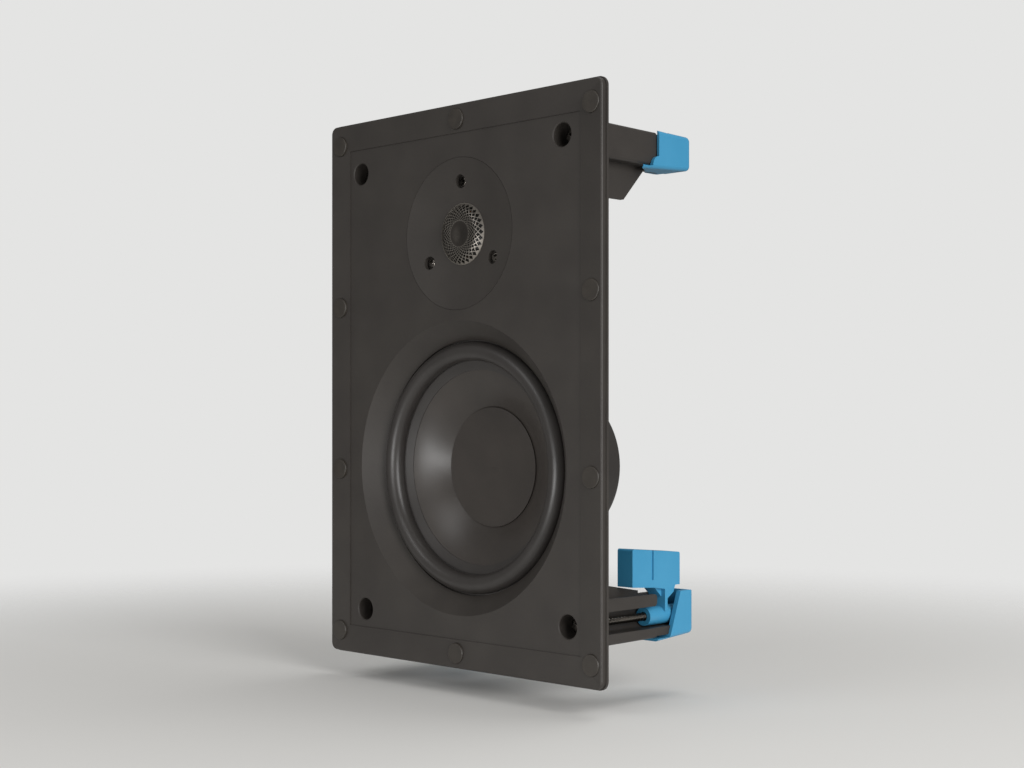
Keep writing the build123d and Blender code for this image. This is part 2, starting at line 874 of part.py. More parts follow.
def woofer_chassis():
    """Frame with six spokes, a ledge for the spider and a seat for the motor."""
    wall_start_y = chassis_y + chassis_flange + basket_start
    wall_end_y = ledge_y - basket_drop
    frame = turned_polygon(
        [
            (chassis_throat, chassis_y),
            (chassis_radius, chassis_y),
            (chassis_radius, chassis_y + chassis_flange),
            (chassis_throat + 1.6 * chassis_wall, chassis_y + chassis_flange),
            (ledge_radius + chassis_wall, wall_end_y + 1),
            (ledge_radius + chassis_wall, ledge_y + chassis_wall),
            (ledge_bore + chassis_wall, ledge_y + chassis_wall),
            (boot_radius, motor_seat_y - chassis_wall),
            (boot_radius, motor_seat_y),
            (motor_seat_bore, motor_seat_y),
            (motor_seat_bore, motor_seat_y - chassis_wall),
            (boot_radius - 1.2 * chassis_wall, motor_seat_y - chassis_wall),
            (ledge_bore, ledge_y + chassis_wall),
            (ledge_bore, ledge_y),
            (ledge_radius, ledge_y),
            (ledge_radius, wall_end_y),
            (chassis_throat, wall_start_y),
        ]
    )
    window_front_y = chassis_y + chassis_flange + window_rim
    window_back_y = wall_end_y - window_foot
    windows = rod(0, 0, chassis_radius + 5, window_front_y, window_back_y)
    windows -= rod(0, 0, ledge_bore, window_front_y - 1, window_back_y + 1)
    for x, z in ring_places(1, 3, 30):
        angle = math.degrees(math.atan2(z, x))
        spoke = block(
            -chassis_radius * 2, chassis_radius * 2,
            window_front_y - 1, window_back_y + 1, -spoke_width / 2, spoke_width / 2,
        )
        windows -= Rot(0, -angle, 0) * spoke
    frame -= windows
    for x, z in woofer_screw_places:
        frame -= rod(x, z, small_shank + slide_gap, chassis_y - 1, chassis_y + chassis_flange + 1)
    return frame


def cone_front():
    """Front line of the cone, from its landing at the surround to its neck."""
    neck = former_radius + former_wall + thread_gap
    return Spline(
        (cone_land_radius, cone_land_y),
        (dust_cap_radius, dust_cap_rim_y + dust_cap_thickness + fit_gap),
        (neck, cone_neck_y),
        tangents=[(-1, 0.33), (-0.66, 0.75)],
    )


def woofer_cone():
    neck = former_radius + former_wall + thread_gap
    front = cone_front()
    land = Line((cone_edge_radius, cone_edge_y), (cone_land_radius, cone_land_y))
    t = cone_thickness
    back = Spline(
        (cone_land_radius, cone_land_y + t),
        (dust_cap_radius, dust_cap_rim_y + dust_cap_thickness + fit_gap + 1.2 * t),
        (neck, cone_neck_y + 1.5 * t),
        tangents=[(-1, 0.33), (-0.66, 0.75)],
    )
    return turned(
        land,
        front,
        Line((neck, cone_neck_y), (neck, cone_neck_y + 1.5 * t)),
        back,
        Line((cone_land_radius, cone_land_y + t), (cone_edge_radius, cone_edge_y + t)),
        Line((cone_edge_radius, cone_edge_y + t), (cone_edge_radius, cone_edge_y)),
    )


def woofer_surround():
    """Half-roll rubber surround with a landing on the chassis and one on the cone."""
    t = surround_thickness
    land_y = chassis_y - t
    land_slope = (cone_land_y - cone_edge_y) / (cone_edge_radius - cone_land_radius)
    inner_y = cone_edge_y - t
    outer_edge = opening_radius + seat_land
    crest = (roll_crest_radius, roll_crest_y)
    crest_back = (roll_crest_radius, roll_crest_y + t)
    outer_foot = (roll_outer_radius, land_y)
    inner_foot = (roll_inner_radius, inner_y)
    outer_back = (roll_outer_radius - t, chassis_y)
    inner_back = (roll_inner_radius + t, inner_y + t / 2)
    lip_end_y = inner_y + land_slope * (roll_inner_radius - cone_land_radius)
    return turned(
        Line((outer_edge, land_y), outer_foot),
        ThreePointArc(outer_foot, crest, inner_foot),
        Line(inner_foot, (cone_land_radius, lip_end_y)),
        Line((cone_land_radius, lip_end_y), (cone_land_radius, cone_land_y)),
        Line((cone_land_radius, cone_land_y), (cone_edge_radius, cone_edge_y)),
        Line((cone_edge_radius, cone_edge_y), inner_back),
        ThreePointArc(inner_back, crest_back, outer_back),
        Line(outer_back, (outer_edge, chassis_y)),
        Line((outer_edge, chassis_y), (outer_edge, land_y)),
    )


def woofer_dust_cap():
    t = dust_cap_thickness
    middle_y = dust_cap_rim_y + dust_cap_dish
    return turned(
        crown(dust_cap_radius, dust_cap_rim_y, middle_y),
        Line((0, middle_y), (0, middle_y + t)),
        crown(dust_cap_radius, dust_cap_rim_y + t, middle_y + t),
        Line((dust_cap_radius, dust_cap_rim_y + t), (dust_cap_radius, dust_cap_rim_y)),
    )


def woofer_voice_coil():
    outer = former_radius + former_wall
    back = winding_front_y + winding_length
    return turned_polygon(
        [
            (former_radius, former_front_y),
            (outer, former_front_y),
            (outer, winding_front_y),
            (outer + winding_thickness, winding_front_y),
            (outer + winding_thickness, back),
            (former_radius, back),
        ]
    )


def woofer_spider():
    """Corrugated cloth disc between the voice coil and the chassis ledge."""
    inner = former_radius + former_wall + thread_gap
    t = spider_thickness
    first = inner + spider_collar
    last = ledge_bore - spider_edge
    wave = (last - first) / spider_waves
    front = [(inner, ledge_y - t), (first, ledge_y - t)]
    for i in range(spider_waves):
        start = first + i * wave
        front.append((start + wave / 4, ledge_y - t - spider_wave_depth))
        front.append((start + 3 * wave / 4, ledge_y - t + spider_wave_depth))
    front.append((last, ledge_y - t))
    front.append((ledge_radius - fit_gap, ledge_y - t))
    back = [(r, y + t) for r, y in reversed(front)]
    return turned_polygon(front + back)


def woofer_top_plate():
    ring = rod(0, 0, top_plate_radius, motor_seat_y, ferrite_y)
    return ring - rod(0, 0, gap_radius, motor_seat_y - 1, ferrite_y + 1)


def woofer_magnet():
    ring = rod(0, 0, ferrite_radius, ferrite_y, yoke_y)
    return ring - rod(0, 0, ferrite_bore, ferrite_y - 1, yoke_y + 1)


def woofer_yoke():
    """Steel back plate with a vented pole."""
    plate = rod(0, 0, yoke_radius, yoke_y, yoke_y + yoke_thickness)
    pole = rod(0, 0, former_radius - pole_clearance, motor_seat_y, yoke_y)
    return plate + pole - rod(0, 0, pole_vent_radius, motor_seat_y - 1, yoke_y + 20)


def magnet_cover():
    """Moulded boot over the magnet."""
    front = motor_seat_y + 0.5
    boot = rod(0, 0, boot_radius, front, boot_back_y)
    boot = fillet(boot.edges().group_by(Axis.Y)[-1], boot_round)
    inner = rod(0, 0, boot_radius - boot_wall, front - 1, boot_back_y - boot_end_wall)
    inner = chamfer(inner.edges().group_by(Axis.Y)[-1], boot_radius - boot_wall - yoke_radius)
    return boot - inner


def woofer_screws():
    """Six screws from behind, through the chassis into the baffle."""
    head_y = chassis_y + chassis_flange
    screws = []
    for x, z in woofer_screw_places:
        shank = rod(x, z, small_shank, seat_y - woofer_screw_bite, head_y)
        screws.append(shank + rod(x, z, small_head, head_y, head_y + small_head_height))
    return screws


def woofer_tags():
    """Tag strip with two tabs, on the chassis flange."""
    back = chassis_y + chassis_flange
    high = chassis_radius - tag_edge
    low = high - tag_strip_width
    strip = block(
        -tag_strip_half, tag_strip_half, back, back + tag_strip_thickness, low, high
    )
    tab_low = low + tag_inset
    for x in (-tag_x, tag_x):
        strip += block(
            x - tag_half_width, x + tag_half_width,
            back + 1, back + tag_length, tab_low, tab_low + tag_thickness,
        )
    return strip


# Tweeter

def tweeter_faceplate():
    """Shallow waveguide with a rim, three screw bosses and a neck for the diaphragm."""
    radius = tweeter_plate_radius - tweeter_seam / 2
    throat_y = panel_y + waveguide_depth
    rim_inner = radius - faceplate_wall
    neck_outer = tweeter_yoke_radius + 1
    neck_inner = lens_radius - lens_ledge
    lens_seat_y = throat_y + lens_thickness + fit_gap
    throat = lens_radius + fit_gap
    middle = ((radius + throat) / 2, (panel_y + throat_y) / 2 + waveguide_sag)
    neck_back = diaphragm_y - dome_thickness
    plate = turned(
        ThreePointArc((radius, panel_y), middle, (throat, throat_y)),
        Line((throat, throat_y), (throat, lens_seat_y)),
        Line((throat, lens_seat_y), (neck_inner, lens_seat_y)),
        Line((neck_inner, lens_seat_y), (neck_inner, neck_back)),
        Line((neck_inner, neck_back), (neck_outer, neck_back)),
        Line((neck_outer, neck_back), (neck_outer, throat_y + faceplate_web)),
        Line((neck_outer, throat_y + faceplate_web), (rim_inner, panel_y + 1 + faceplate_web)),
        Line((rim_inner, panel_y + 1 + faceplate_web), (rim_inner, tweeter_floor_y)),
        Line((rim_inner, tweeter_floor_y), (radius, tweeter_floor_y)),
        Line((radius, tweeter_floor_y), (radius, panel_y)),
    )
    for x, z in tweeter_screw_places:
        plate += rod(x, z, tweeter_well_radius + 1, tweeter_head_y, tweeter_floor_y)
        plate -= rod(x, z, tweeter_well_radius, panel_y - 1, tweeter_head_y)
        plate -= rod(x, z, small_shank + slide_gap, panel_y, tweeter_floor_y + 1)
    return plate


# The screws' heads lie in wells in the waveguide, whose slope is nearly straight there
tweeter_screw_share = (tweeter_plate_radius - tweeter_screw_circle) / (
    tweeter_plate_radius - lens_radius
)
tweeter_head_top_y = (
    panel_y + waveguide_depth * tweeter_screw_share + waveguide_sag + tweeter_head_sink
)
tweeter_head_y = tweeter_head_top_y + tweeter_head_height


def tweeter_lens():
    """Perforated phase lens: a raised ring of holes round a dimpled disc."""
    rim_y = panel_y + waveguide_depth
    top_y = rim_y - lens_rise
    t = lens_thickness

    def section(y_shift):
        return [
            (lens_radius, rim_y + y_shift),
            (lens_radius - lens_rim, rim_y + y_shift),
            (lens_ridge_radius, top_y - lens_ridge_sink + y_shift),
            (lens_disc_radius, top_y + y_shift),
            (0, top_y + lens_dimple + y_shift),
        ]

    front = section(0)
    back = section(t)
    shoulder_y = rim_y - lens_shoulder_rise
    ridge = ThreePointArc(front[1], (lens_shoulder_radius, shoulder_y), front[2])
    ridge_back = ThreePointArc(back[1], (lens_shoulder_radius, shoulder_y + t), back[2])
    dimple = Spline(front[3], front[4], tangents=[(-1, 0), (-1, 0)])
    dimple_back = Spline(back[3], back[4], tangents=[(-1, 0), (-1, 0)])
    lens = turned(
        Line(front[0], front[1]), ridge, Line(front[2], front[3]), dimple,
        Line(front[4], back[4]), dimple_back, Line(back[3], back[2]), ridge_back,
        Line(back[1], back[0]), Line(back[0], front[0]),
    )
    holes = []
    growth = (lens_last_row / lens_first_row) ** (1 / (lens_rows - 1))
    for row in range(lens_rows):
        radius = lens_first_row * growth**row
        half_width = math.pi * radius / lens_holes - lens_web
        half_length = radius * (growth - 1) / 2 - lens_web / 2
        first = 180 / lens_holes * (row % 2)
        diamond = Polyline(
            (half_length, 0), (0, half_width), (-half_length, 0), (0, -half_width), close=True
        )
        hole = slab(make_face(diamond), top_y - 1, rim_y + lens_rise)
        for number in range(lens_holes):
            angle = first + number * 360 / lens_holes
            holes.append(Rot(0, -angle, 0) * Pos(radius, 0, 0) * hole)
    return lens - holes


def tweeter_dome():
    t = dome_thickness
    rim_y = diaphragm_y - t
    top_y = diaphragm_y - dome_height
    return turned(
        crown(dome_radius, rim_y, top_y),
        Line((0, top_y), (0, top_y + t)),
        crown(dome_radius - t, rim_y, top_y + t),
        Line((dome_radius - t, rim_y), (dome_radius, rim_y)),
    )


def tweeter_surround():
    """Small half-roll of the diaphragm, with its flat landing on the yoke."""
    t = dome_thickness
    inner = dome_radius + fit_gap
    outer = tweeter_roll_outer
    land = tweeter_yoke_radius - 0.5
    middle = (inner + outer) / 2
    base = diaphragm_y - t
    return turned(
        ThreePointArc((inner, base), (middle, base - tweeter_roll_height), (outer, base)),
        Line((outer, base), (land, base)),
        Line((land, base), (land, diaphragm_y)),
        Line((land, diaphragm_y), (outer - t, diaphragm_y)),
        ThreePointArc(
            (outer - t, diaphragm_y),
            (middle, base - tweeter_roll_height + t),
            (inner + t, base),
        ),
        Line((inner + t, base), (inner, base)),
    )


def tweeter_voice_coil():
    ring = rod(0, 0, dome_radius + tweeter_coil_wall, diaphragm_y, diaphragm_y + tweeter_coil_length)
    bore = rod(0, 0, dome_radius, diaphragm_y - 1, diaphragm_y + tweeter_coil_length + 1)
    return ring - bore


def tweeter_yoke():
    back = diaphragm_y + tweeter_yoke_length
    cup = rod(0, 0, tweeter_yoke_radius, diaphragm_y, back)
    return cup - rod(0, 0, tweeter_yoke_bore, diaphragm_y - 1, back - tweeter_yoke_floor)


def tweeter_pole_plate():
    front = diaphragm_y + tweeter_pole_drop
    return rod(0, 0, tweeter_pole_radius, front, front + tweeter_pole_thickness)


def tweeter_magnet():
    front = diaphragm_y + tweeter_pole_drop + tweeter_pole_thickness
    back = diaphragm_y + tweeter_yoke_length - tweeter_yoke_floor
    return rod(0, 0, tweeter_magnet_radius, front, back)


def tweeter_screws():
    screws = []
    for x, z in tweeter_screw_places:
        head = rod(x, z, tweeter_head_radius, tweeter_head_top_y, tweeter_head_y)
        end = tweeter_head_y + small_length
        screws.append(head + rod(x, z, small_shank, tweeter_head_y, end))
    return screws


# Crossover and terminals

parts_y = board_y + board_thickness


def crossover_board():
    board = block(board_left, board_right, board_y, parts_y, board_bottom, board_top)
    for x, z in board_screw_places:
        board -= rod(x, z, small_shank + slide_gap, board_y - 1, parts_y + 1)
    return board


def wound_coil(x, z, radius, bore, height):
    """Air-core coil: copper turns on a flanged bobbin."""
    back = parts_y + height
    bobbin = rod(x, z, radius, parts_y, parts_y + bobbin_flange)
    bobbin += rod(x, z, radius, back - bobbin_flange, back)
    bobbin += rod(x, z, radius - 1, parts_y + bobbin_flange, back - bobbin_flange)
    return bobbin - rod(x, z, bore, parts_y - 1, back + 1)


def lying_can(x, z_from, z_to, radius):
    """Film capacitor lying along Z, with slightly domed ends."""
    can = Pos(x, parts_y + radius, (z_from + z_to) / 2) * Cylinder(radius, z_to - z_from)
    return fillet(can.edges(), radius / 5)


def crossover_resistor():
    left = board_left + resistor_inset
    body = block(
        left, left + resistor_length, parts_y, parts_y + resistor_height, *resistor_sides
    )
    return chamfer(body.edges().filter_by(Axis.X), resistor_chamfer)


def terminal_block():
    """Terminal housing with two wire holes and two wells for the push buttons."""
    back = panel_back_y + terminal_depth
    body = block(terminal_left, terminal_right, panel_back_y, back, terminal_bottom, terminal_top)
    body = chamfer(body.edges().group_by(Axis.Y)[-1], terminal_chamfer)
    foot = panel_back_y + terminal_foot_height
    for x, z in terminal_screw_places:
        body += rod(x, z, standoff_radius + 1, foot, foot + terminal_flange_thickness)
    for x, z in terminal_screw_places:
        body -= rod(x, z, standoff_radius + fit_gap, panel_back_y - 1, foot)
        body -= rod(x, z, small_shank + slide_gap, foot - 1, foot + 5)
        body -= rod(x, z, small_head + slide_gap, foot + terminal_flange_thickness, back + 1)
    for x in button_places:
        half = button_size / 2 + slide_gap
        floor = back - button_travel - slide_gap - button_sunk
        body -= block(x - half, x + half, floor, back + 1, button_z - half, button_z + half)
        body -= rod(x, wire_hole_z, wire_hole_radius, back - wire_hole_depth, back + 1)
    return body


button_places = [terminal_left + button_left_inset, terminal_right - button_right_inset]


def terminal_button(x):
    """Push button that opens the spring contact under it."""
    half = button_size / 2
    back = panel_back_y + terminal_depth + button_height
    front = panel_back_y + terminal_depth - button_sunk
    button = block(x - half, x + half, front, back, button_z - half, button_z + half)
    return fillet(button.edges().group_by(Axis.Y)[-1], button_round)


def rear_screws():
    """Screws of the crossover board and of the terminal block."""
    screws = []
    for x, z in board_screw_places:
        shank = rod(x, z, small_shank, board_y - 5, parts_y)
        screws.append(shank + rod(x, z, small_head, parts_y, parts_y + small_head_height))
    foot = panel_back_y + terminal_foot_height
    for x, z in terminal_screw_places:
        head_y = foot + terminal_flange_thickness
        shank = rod(x, z, small_shank, foot - 5, head_y)
        screws.append(shank + rod(x, z, small_head, head_y, head_y + small_head_height))
    return screws


# Assembly

nodes = {"front_baffle": front_baffle()}
nodes["grille_discs"] = [grille_disc(x, z) for x, z in disc_places]

nodes["woofer_gasket"] = at_woofer(woofer_gasket())
nodes["woofer_chassis"] = at_woofer(woofer_chassis())
nodes["woofer_surround"] = at_woofer(woofer_surround())
nodes["woofer_cone"] = at_woofer(woofer_cone())
nodes["woofer_dust_cap"] = at_woofer(woofer_dust_cap())
nodes["woofer_voice_coil"] = at_woofer(woofer_voice_coil())
nodes["woofer_spider"] = at_woofer(woofer_spider())
nodes["woofer_top_plate"] = at_woofer(woofer_top_plate())
nodes["woofer_magnet"] = at_woofer(woofer_magnet())
nodes["woofer_yoke"] = at_woofer(woofer_yoke())
nodes["magnet_cover"] = at_woofer(magnet_cover())
nodes["woofer_screws"] = [at_woofer(s) for s in woofer_screws()]
nodes["woofer_tags"] = at_woofer(woofer_tags())

nodes["tweeter_faceplate"] = at_tweeter(tweeter_faceplate())
nodes["tweeter_lens"] = at_tweeter(tweeter_lens())
nodes["tweeter_dome"] = at_tweeter(tweeter_dome())
nodes["tweeter_surround"] = at_tweeter(tweeter_surround())
nodes["tweeter_voice_coil"] = at_tweeter(tweeter_voice_coil())
nodes["tweeter_pole_plate"] = at_tweeter(tweeter_pole_plate())
nodes["tweeter_magnet"] = at_tweeter(tweeter_magnet())
nodes["tweeter_yoke"] = at_tweeter(tweeter_yoke())
nodes["tweeter_screws"] = [at_tweeter(s) for s in tweeter_screws()]

nodes["crossover_board"] = crossover_board()
nodes["woofer_coil"] = wound_coil(
    board_left + woofer_coil_inset, woofer_coil_z,
    woofer_coil_radius, woofer_coil_bore, woofer_coil_height,
)
nodes["tweeter_coil"] = wound_coil(
    board_left + tweeter_coil_inset, tweeter_coil_z,
    tweeter_winding_radius, tweeter_winding_bore, tweeter_winding_height,
)
nodes["large_capacitor"] = lying_can(
    board_right - large_capacitor_inset, *large_capacitor_ends, large_capacitor_radius
)
nodes["small_capacitor"] = lying_can(
    board_right - small_capacitor_inset, *small_capacitor_ends, small_capacitor_radius
)
nodes["crossover_resistor"] = crossover_resistor()
nodes["terminal_block"] = terminal_block()
nodes["red_button"] = terminal_button(button_places[0])
nodes["black_button"] = terminal_button(button_places[1])
nodes["rear_screws"] = rear_screws()
nodes["screw_retainers"] = [at_corner(screw_retainer(), corner) for corner in corners]

for corner in corners:
    nodes[f"clamp_tower_{corner}"] = at_corner(clamp_tower(), corner)
    nodes[f"clamp_screw_{corner}"] = at_corner(clamp_screw(), corner)
    nodes[f"clamp_bush_{corner}"] = at_corner(clamp_bush(), corner)
    nodes[f"clamp_arm_{corner}"] = at_corner(clamp_arm(), corner)
    nodes[f"tower_cap_{corner}"] = at_corner(tower_cap(), corner)

os.makedirs("parts", exist_ok=True)
for name, shape in nodes.items():
    solids = shape if isinstance(shape, list) else [shape]
    pieces = [solid for item in solids for solid in item.solids()]
    export_step(Compound(children=pieces) if len(pieces) > 1 else pieces[0], f"parts/{name}.step")
print(len(nodes), "nodes written")
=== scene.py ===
import math

import bmesh
import bpy
from mathutils import Matrix, Vector
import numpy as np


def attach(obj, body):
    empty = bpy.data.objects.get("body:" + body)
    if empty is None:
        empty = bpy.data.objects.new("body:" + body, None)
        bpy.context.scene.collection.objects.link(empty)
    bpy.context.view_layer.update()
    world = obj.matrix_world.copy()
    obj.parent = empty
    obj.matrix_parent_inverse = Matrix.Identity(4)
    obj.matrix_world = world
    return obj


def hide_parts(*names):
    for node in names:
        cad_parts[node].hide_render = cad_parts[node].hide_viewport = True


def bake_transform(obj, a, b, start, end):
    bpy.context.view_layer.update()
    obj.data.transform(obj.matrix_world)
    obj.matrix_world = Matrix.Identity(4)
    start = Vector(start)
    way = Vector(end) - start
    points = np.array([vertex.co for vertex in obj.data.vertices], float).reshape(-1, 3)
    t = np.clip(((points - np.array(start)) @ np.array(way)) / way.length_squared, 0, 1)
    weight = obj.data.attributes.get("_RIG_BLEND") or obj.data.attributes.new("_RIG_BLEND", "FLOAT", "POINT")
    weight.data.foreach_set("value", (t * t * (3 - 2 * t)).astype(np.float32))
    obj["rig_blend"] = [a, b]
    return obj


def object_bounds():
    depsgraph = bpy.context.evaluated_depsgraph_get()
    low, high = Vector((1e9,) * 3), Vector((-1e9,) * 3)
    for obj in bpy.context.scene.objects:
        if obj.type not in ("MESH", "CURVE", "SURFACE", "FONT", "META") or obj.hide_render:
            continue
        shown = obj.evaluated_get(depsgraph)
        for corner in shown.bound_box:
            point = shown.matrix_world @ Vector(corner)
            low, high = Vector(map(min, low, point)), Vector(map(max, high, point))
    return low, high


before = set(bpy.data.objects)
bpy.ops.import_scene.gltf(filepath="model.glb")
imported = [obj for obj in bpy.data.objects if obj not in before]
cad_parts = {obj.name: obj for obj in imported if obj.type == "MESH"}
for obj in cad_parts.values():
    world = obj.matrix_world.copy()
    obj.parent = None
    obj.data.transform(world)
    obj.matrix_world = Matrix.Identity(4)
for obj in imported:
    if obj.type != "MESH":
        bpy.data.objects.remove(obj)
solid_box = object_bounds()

# Front baffle
# One moulding in dark warm grey ABS: flange, sunk panel, woofer funnel, clamp towers and ribs.
# The mould's front half is spark-eroded, so the face has a fine even grain and no gloss.
MM = 0.001


def linear(hex_colour):
    """Turns an sRGB hex colour to the linear colour that a shader takes."""
    channels = [int(hex_colour[i:i + 2], 16) / 255 for i in (1, 3, 5)]
    return tuple(
        c / 12.92 if c <= 0.04045 else ((c + 0.055) / 1.055) ** 2.4 for c in channels
    ) + (1.0,)


def add(tree, kind, settings=None, links=None):
    """Adds a node, sets its properties and sockets, and links its inputs."""
    node = tree.nodes.new(kind)
    for name, value in (settings or {}).items():
        if isinstance(name, int) or name in node.inputs:
            node.inputs[name].default_value = value
        else:
            setattr(node, name, value)
    for name, source in (links or {}).items():
        tree.links.new(source, node.inputs[name])
    return node


def blank_material(name):
    """A new material with only its output node, and the surface's object coordinates."""
    material = bpy.data.materials.new(name)
    material.use_nodes = True
    tree = material.node_tree
    tree.nodes.clear()
    output = add(tree, "ShaderNodeOutputMaterial")
    place = add(tree, "ShaderNodeTexCoord").outputs["Object"]
    return material, tree, output, place


def grained(
    name, dark, light, grain, roughness, depth, metallic=0.0, clouds=30 * MM, spread=0.06, ior=1.5
):
    """A surface with fine grain of a real size, slow clouding, and a little unevenness in gloss."""
    material, tree, output, place = blank_material(name)
    fine = add(
        tree, "ShaderNodeTexNoise", {"Scale": 1 / grain, "Detail": 2.0}, {"Vector": place}
    )
    slow = add(
        tree, "ShaderNodeTexNoise", {"Scale": 1 / clouds, "Detail": 3.0}, {"Vector": place}
    )
    mixed = add(
        tree,
        "ShaderNodeMath",
        {"operation": "MULTIPLY_ADD", 1: 0.5},
        {0: fine.outputs["Fac"], 2: slow.outputs["Fac"]},
    )
    ramp = add(
        tree,
        "ShaderNodeMapRange",
        {"From Min": 0.45, "From Max": 1.05},
        {"Value": mixed.outputs[0]},
    )
    colour = add(
        tree,
        "ShaderNodeMix",
        {"data_type": "RGBA", 6: linear(dark), 7: linear(light)},
        {"Factor": ramp.outputs[0]},
    )
    gloss = add(
        tree,
        "ShaderNodeMapRange",
        {"To Min": roughness - spread, "To Max": roughness + spread},
        {"Value": slow.outputs["Fac"]},
    )
    bump = add(
        tree,
        "ShaderNodeBump",
        {"Strength": 1.0, "Distance": depth},
        {"Height": fine.outputs["Fac"]},
    )
    settings = {"Metallic": metallic}
    if not metallic:
        settings["IOR"] = ior
    shader = add(
        tree,
        "ShaderNodeBsdfPrincipled",
        settings,
        {
            "Base Color": colour.outputs[2],
            "Roughness": gloss.outputs[0],
            "Normal": bump.outputs[0],
        },
    )
    tree.links.new(shader.outputs[0], output.inputs["Surface"])
    return material


def paint(material, *nodes):
    """Gives CAD nodes their material."""
    for name in nodes:
        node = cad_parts[name]
        node.data.materials.clear()
        node.data.materials.append(material)


corners = ("bottom_right", "top_right", "top_left", "bottom_left")

# Spark-eroded ABS: the grain is about 0.4 mm across, drawn at 0.7 mm so that it shows
baffle_abs = grained(
    "spark_eroded_abs", "#2E2A27", "#383430", 0.7 * MM, 0.48, 0.025 * MM, spread=0.03
)
paint(baffle_abs, "front_baffle", *[f"clamp_tower_{corner}" for corner in corners])

# Grille discs
# Ten steel discs that the grille's magnets pull on, pressed into the sloping border.
# They are coated against rust, which leaves them a dull brownish grey.
# Phosphated steel: dull, with a cloudiness a few millimetres across
disc_coating = grained(
    "phosphated_steel", "#2E2A26", "#39342E", 0.6 * MM, 0.40, 0.02 * MM, clouds=6 * MM
)
paint(disc_coating, "grille_discs")

# Tweeter motor
# A plated steel cup with a small nickel-plated magnet and a steel pole plate in it,
# glued to the back of the faceplate.
# Zinc plate: pale metal with blurred reflections
zinc_steel = grained(
    "zinc_plated_steel", "#A9ABAC", "#C2C4C4", 0.8 * MM, 0.32, 0.01 * MM, metallic=1.0
)
paint(
    zinc_steel,
    "woofer_top_plate",
    "woofer_yoke",
    "tweeter_yoke",
    "tweeter_pole_plate",
    "screw_retainers",
    "woofer_tags",
)
# Nickel plate on a pressed magnet: warmer and smoother than the zinc
nickel = grained(
    "nickel_plate", "#8E8A83", "#A7A39B", 0.6 * MM, 0.25, 0.01 * MM, metallic=1.0
)
paint(nickel, "tweeter_magnet")

# Tweeter faceplate and lens
# A shallow waveguide of the same ABS. In its throat is a pressed metal lens: diamond holes,
# 30 to a row and growing outwards, round a dimpled solid middle, in satin black nickel.
paint(baffle_abs, "tweeter_faceplate")

tweeter_place = Vector((0, 0, 84 * MM))
lens_columns = 30
lens_steps = 5
lens_inner = 7.2 * MM
lens_outer = 16.9 * MM
lens_edge = 17.2 * MM
lens_ridge = 11.6 * MM
lens_rim_y = 1.1 * MM
lens_ridge_y = -1.9 * MM
lens_middle_y = -1.6 * MM
lens_dimple = 1.1 * MM
lens_sheet = 0.5 * MM


def lens_front(radius):
    """The lens's front face at a radius: a dimple, a nearly flat shoulder and a falling ridge."""
    if radius > lens_ridge:
        share = min(1.0, (radius - lens_ridge) / (lens_outer - lens_ridge))
        return lens_ridge_y + (lens_rim_y - lens_ridge_y) * share**1.86
    if radius > lens_inner:
        share = (radius - lens_inner) / (lens_ridge - lens_inner)
        return lens_middle_y + (lens_ridge_y - lens_middle_y) * share
    share = 1 - radius / lens_inner
    return lens_middle_y + lens_dimple * share * share * (3 - 2 * share)


def piece(form, name, body, material, replaces=(), crease=35):
    """Closes a form as an object that rides on a body and stands for CAD nodes."""
    bmesh.ops.remove_doubles(form, verts=form.verts[:], dist=0.002 * MM)
    bmesh.ops.recalc_face_normals(form, faces=form.faces[:])
    for face in form.faces:
        face.smooth = True
    mesh = bpy.data.meshes.new(name)
    form.to_mesh(mesh)
    form.free()
    mesh.set_sharp_from_angle(angle=math.radians(crease))
    mesh.materials.append(material)
    thing = bpy.data.objects.new(name, mesh)
    bpy.context.scene.collection.objects.link(thing)
    if body:
        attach(thing, body)
    if replaces:
        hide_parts(*replaces)
    return thing


def ring_from(form, edges, radius, y):
    """Extrudes a loop about the Y axis to a new radius and depth, and returns the new loop."""
    grown = bmesh.ops.extrude_edge_only(form, edges=edges)["geom"]
    for vert in [g for g in grown if isinstance(g, bmesh.types.BMVert)]:
        reach = math.hypot(vert.co.x, vert.co.z)
        vert.co = Vector((vert.co.x * radius / reach, y, vert.co.z * radius / reach))
    return [g for g in grown if isinstance(g, bmesh.types.BMEdge)]


form = bmesh.new()
bmesh.ops.create_grid(form, x_segments=lens_columns, y_segments=lens_steps, size=0.5)
growth = lens_outer / lens_inner
for vert in form.verts:
    angle = 2 * math.pi * (vert.co.x + 0.5)
    radius = lens_inner * growth ** (vert.co.y + 0.5)
    vert.co = Vector((radius * math.cos(angle), 0, radius * math.sin(angle)))
bmesh.ops.remove_doubles(form, verts=form.verts[:], dist=0.002 * MM)
grid_edges = [edge for edge in form.edges if len(edge.link_faces) == 2]
bmesh.ops.poke(form, faces=form.faces[:])
bmesh.ops.dissolve_edges(form, edges=grid_edges, use_verts=False)
for vert in form.verts:
    vert.co.y = lens_front(math.hypot(vert.co.x, vert.co.z))
rim_edges = [edge for edge in form.edges if edge.is_boundary]
diamonds = [face for face in form.faces if len(face.verts) == 4]
inner_edges = [e for e in rim_edges if e.verts[0].co.xz.length < lens_ridge]
outer_edges = [e for e in rim_edges if e.verts[0].co.xz.length > lens_ridge]
for radius in (5.9 * MM, 4.5 * MM, 3.0 * MM, 1.5 * MM, 0.4 * MM):
    inner_edges = ring_from(form, inner_edges, radius, lens_front(radius))
bmesh.ops.holes_fill(form, edges=inner_edges, sides=lens_columns)
outer_edges = ring_from(form, outer_edges, lens_edge, lens_rim_y)
ring_from(form, outer_edges, lens_edge, lens_rim_y + lens_sheet)
for diamond in diamonds:
    reach = diamond.calc_center_median().xz.length
    bmesh.ops.inset_individual(form, faces=[diamond], thickness=0.019 * reach)
